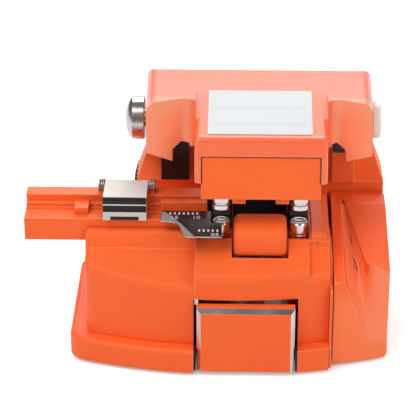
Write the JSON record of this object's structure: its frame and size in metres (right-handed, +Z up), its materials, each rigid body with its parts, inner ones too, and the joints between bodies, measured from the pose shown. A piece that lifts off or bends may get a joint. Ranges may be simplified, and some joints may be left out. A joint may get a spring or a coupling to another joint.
{
  "type": "fibre cleaver",
  "caption": "Bench-top optical fibre cleaver: painted metal body with a hinged pressing lid, sliding round blade, sliding fibre holder bar with a sprung clamp, scrap bin and rear thumbwheel.",
  "frame": {"origin": "centre of the base mount: on the flat under the sole pad, in the fibre's cut plane, half way along the depth of the housing", "axes": "+X to the right across the cut plane (along the fibre), +Y to the rear, along the blade's stroke, +Z up from the rest face"},
  "size_m": [0.0813, 0.0544, 0.0586],
  "materials": {
    "orange_paint": "satin powder coat",
    "steel": "brushed",
    "polished_steel": "polished",
    "rubber": "matt",
    "black_plastic": "matt moulded",
    "black_plate": "satin anodised",
    "white_label": "printed film",
    "bare_aluminium": "machined"
  },
  "bodies": {
    "body": {"lower_housing": "orange_paint", "base_plate": "steel", "sole_pad": "rubber", "base_screws": "steel", "main_body": "orange_paint", "lower_posts": "polished_steel", "stop_screws": "steel", "pad_holders": "steel", "lower_pads": "rubber", "hinge_block": "black_plastic", "lid_spring": "steel", "slide_rail": "steel", "scale_plate": "black_plate"},
    "lid": {"lid_shell": "orange_paint", "lid_panel": "orange_paint", "lid_insert": "orange_paint", "label_plate": "white_label", "upper_posts": "polished_steel", "upper_pads": "rubber", "upper_pad_holders": "steel", "anvil": "steel", "hinge_shaft": "steel", "hinge_collar": "steel", "collar_set_screw": "steel", "hinge_cap": "steel"},
    "carriage": {"front_plate": "orange_paint", "carriage_block": "bare_aluminium", "blade_arm": "bare_aluminium", "blade_pin": "steel", "blade_guard": "orange_paint"},
    "blade": {"blade_wheel": "polished_steel"},
    "holder": {"holder_bar": "orange_paint", "clamp_pin": "steel", "holder_bridge": "orange_paint"},
    "clamp": {"clamp_plate": "steel", "clamp_pad": "rubber"},
    "bin": {"bin_shell": "orange_paint"},
    "dial": {"dial_wheel": "black_plastic", "dial_shaft": "steel"}
  },
  "joints": [
    {"name": "lid_hinge", "type": "hinge", "parent": "body", "child": "lid", "pos_m": [0, 0.012, 0.0446], "axis": [1, 0, 0], "range_deg": [-45, 8]},
    {"name": "carriage_slide", "type": "slide", "parent": "body", "child": "carriage", "axis": [0, 1, 0], "range_m": [0, 0.011]},
    {"name": "blade_turn", "type": "hinge", "parent": "carriage", "child": "blade", "pos_m": [0, -0.0112, 0.0231], "axis": [1, 0, 0], "continuous": true},
    {"name": "holder_slide", "type": "slide", "parent": "body", "child": "holder", "axis": [1, 0, 0], "range_m": [-0.01, 0]},
    {"name": "clamp_hinge", "type": "hinge", "parent": "holder", "child": "clamp", "pos_m": [-0.03, -0.004, 0.0352], "axis": [1, 0, 0], "range_deg": [-100, 0]},
    {"name": "bin_slide", "type": "slide", "parent": "body", "child": "bin", "axis": [1, 0, 0], "range_m": [0, 0.012]},
    {"name": "dial_turn", "type": "hinge", "parent": "body", "child": "dial", "pos_m": [-0.0194, 0.022, 0.0226], "axis": [0, 1, 0], "continuous": true}
  ]
}
